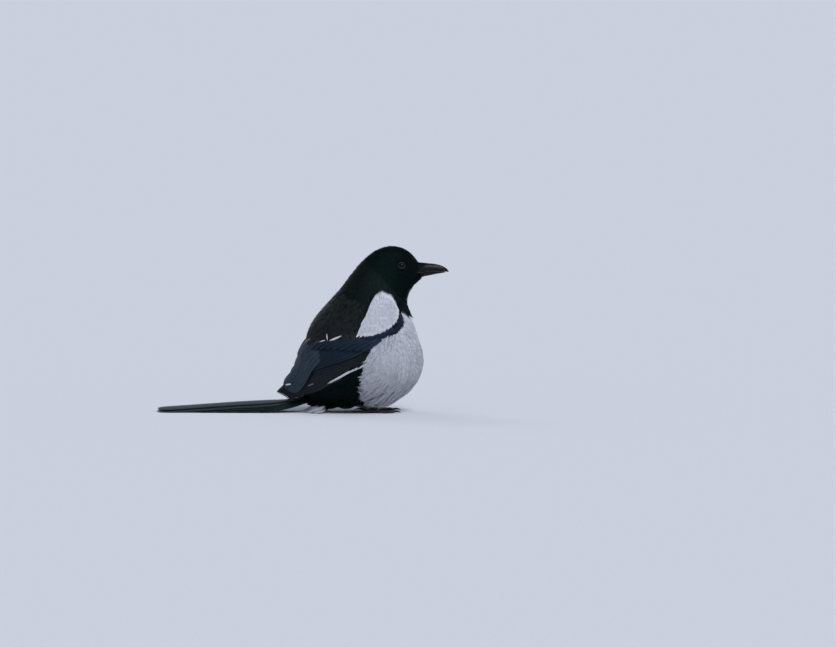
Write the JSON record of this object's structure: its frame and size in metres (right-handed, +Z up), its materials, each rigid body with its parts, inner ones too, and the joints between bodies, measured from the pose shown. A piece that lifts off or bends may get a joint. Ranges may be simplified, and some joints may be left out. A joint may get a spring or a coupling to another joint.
{
  "type": "eurasian magpie",
  "caption": "Fluffed black and white magpie at rest, squatting on its feet with folded wings and a long stepped tail laid on the floor.",
  "frame": {"origin": "centre of the bounding box at floor level, under the bird", "axes": "+X towards the bill, +Y to the bird's left, +Z up"},
  "size_m": [0.335, 0.1098, 0.1908],
  "materials": {
    "black_plumage": "soft black feathers with a faint green gloss",
    "white_plumage": "soft matt white feathers",
    "glossy_vanes": "stiff feather vanes with a blue and green gloss",
    "horn": "satin black horn",
    "leg_scales": "matt black scales",
    "eye": "wet dark brown eye"
  },
  "bodies": {
    "root": {"back": "black_plumage", "belly": "white_plumage", "bill_lower": "horn", "bill_upper": "horn", "claw_left_1": "horn", "claw_left_2": "horn", "claw_left_3": "horn", "claw_left_4": "horn", "claw_right_1": "horn", "claw_right_2": "horn", "claw_right_3": "horn", "claw_right_4": "horn", "eye_left": "eye", "eye_right": "eye", "foot_left": "leg_scales", "foot_right": "leg_scales", "head": "black_plumage", "neck": "black_plumage", "scapulars_left": "white_plumage", "scapulars_right": "white_plumage", "shank_left": "leg_scales", "shank_right": "leg_scales", "tail": "glossy_vanes", "thigh_left": "black_plumage", "thigh_right": "black_plumage", "vent": "white_plumage", "wing_left": "glossy_vanes", "wing_right": "glossy_vanes"}
  },
  "joints": []
}
